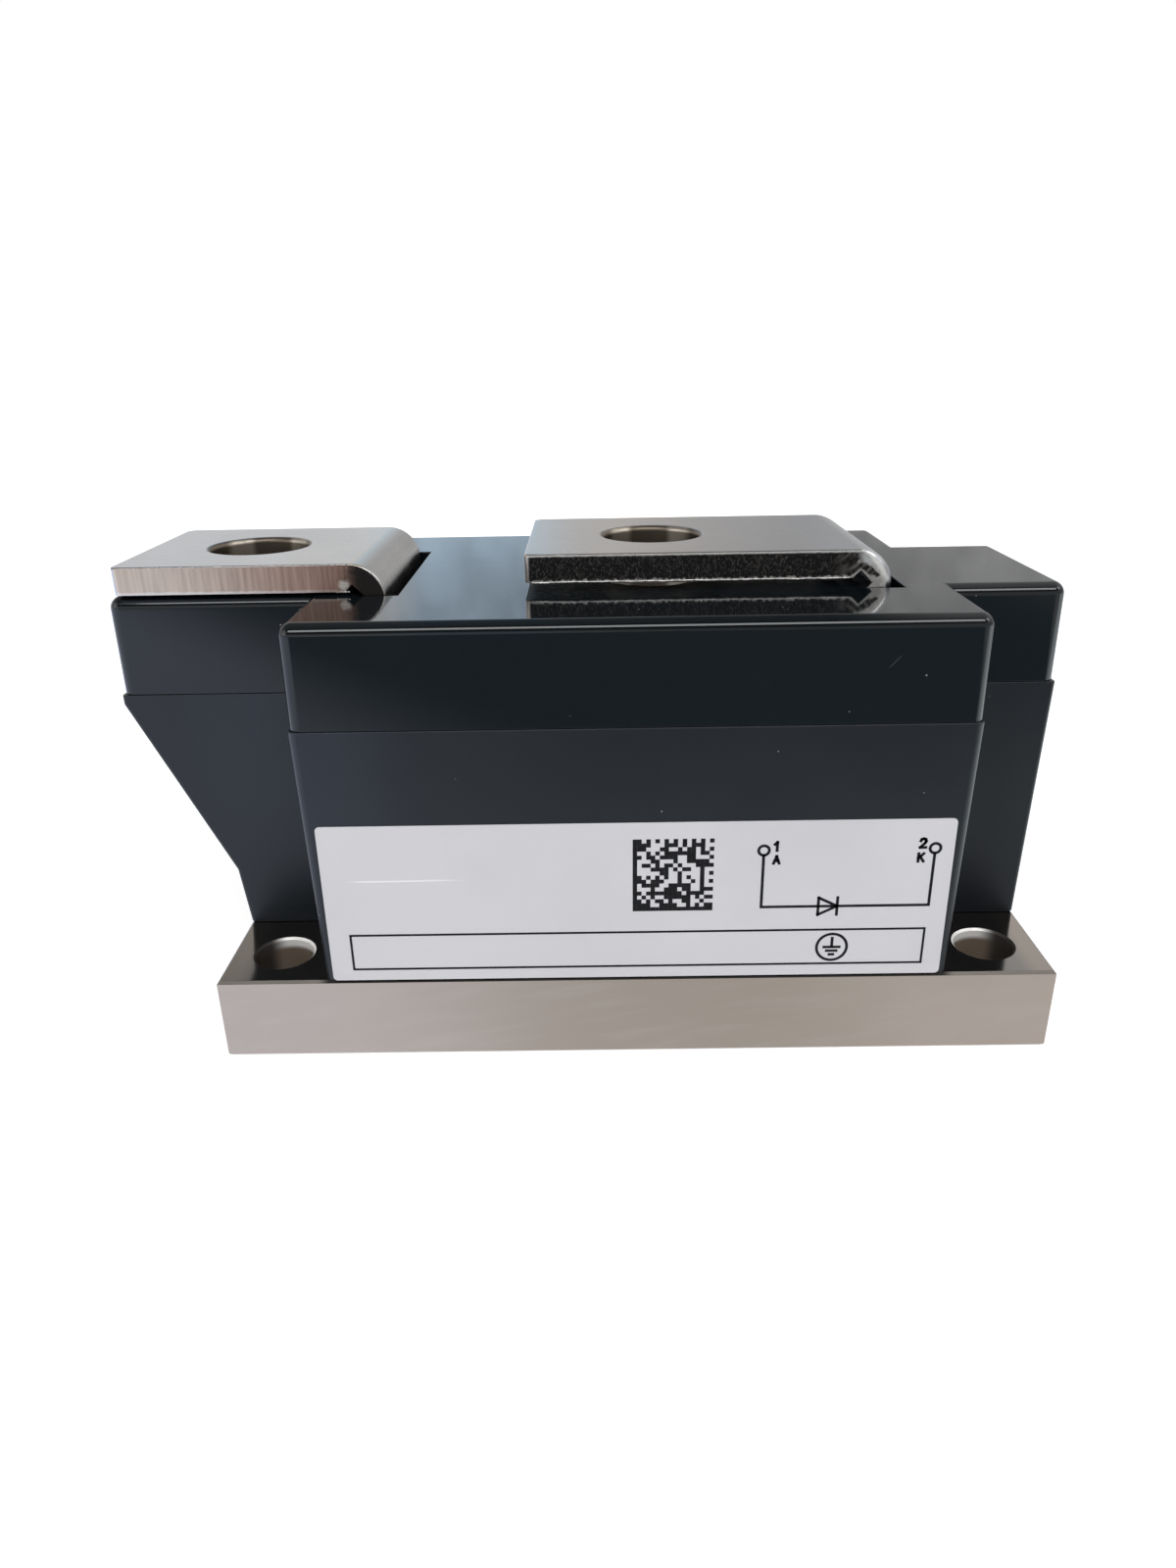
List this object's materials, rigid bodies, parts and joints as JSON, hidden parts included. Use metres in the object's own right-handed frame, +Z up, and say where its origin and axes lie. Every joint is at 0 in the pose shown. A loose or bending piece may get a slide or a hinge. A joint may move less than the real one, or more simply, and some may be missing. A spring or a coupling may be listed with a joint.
{
  "type": "power diode module",
  "caption": "Box-shaped power diode module: thick drilled base plate, dark moulded housing overhanging at one end, and bent screw-terminal tabs over captive nuts.",
  "frame": {"origin": "centre of the base plate's underside", "axes": "+X along the plate, away from the overhanging nose; +Y away from the label; +Z up"},
  "size_m": [0.1031, 0.0501, 0.0535],
  "materials": {
    "nickel_plate": "satin nickel plating on copper",
    "nickel_strip": "satin nickel plating on copper",
    "frame_plastic": "satin moulded thermoset",
    "lid_plastic": "glossy moulded thermoset",
    "label_film": "satin white film",
    "zinc_steel": "zinc plated",
    "spring_steel": "phosphated",
    "aluminium_nitride": "lapped",
    "molybdenum": "lapped",
    "silicon": "polished",
    "silicone_rubber": "moulded",
    "insulating_plastic": "moulded"
  },
  "bodies": {
    "root": {"base_plate": "nickel_plate", "housing_frame": "frame_plastic", "housing_lid": "lid_plastic", "rating_label": "label_film", "anode_terminal": "nickel_strip", "cathode_terminal": "nickel_strip", "terminal_nuts": "zinc_steel", "ceramic_insulator": "aluminium_nitride", "lower_contact_disc": "molybdenum", "diode_wafer": "silicon", "upper_contact_disc": "molybdenum", "centring_ring": "silicone_rubber", "thrust_insulator": "insulating_plastic", "lower_disc_spring": "spring_steel", "upper_disc_spring": "spring_steel", "clamp_plate": "spring_steel", "screw_sleeves": "insulating_plastic", "clamp_washers": "zinc_steel", "clamp_screws": "spring_steel"}
  },
  "joints": []
}
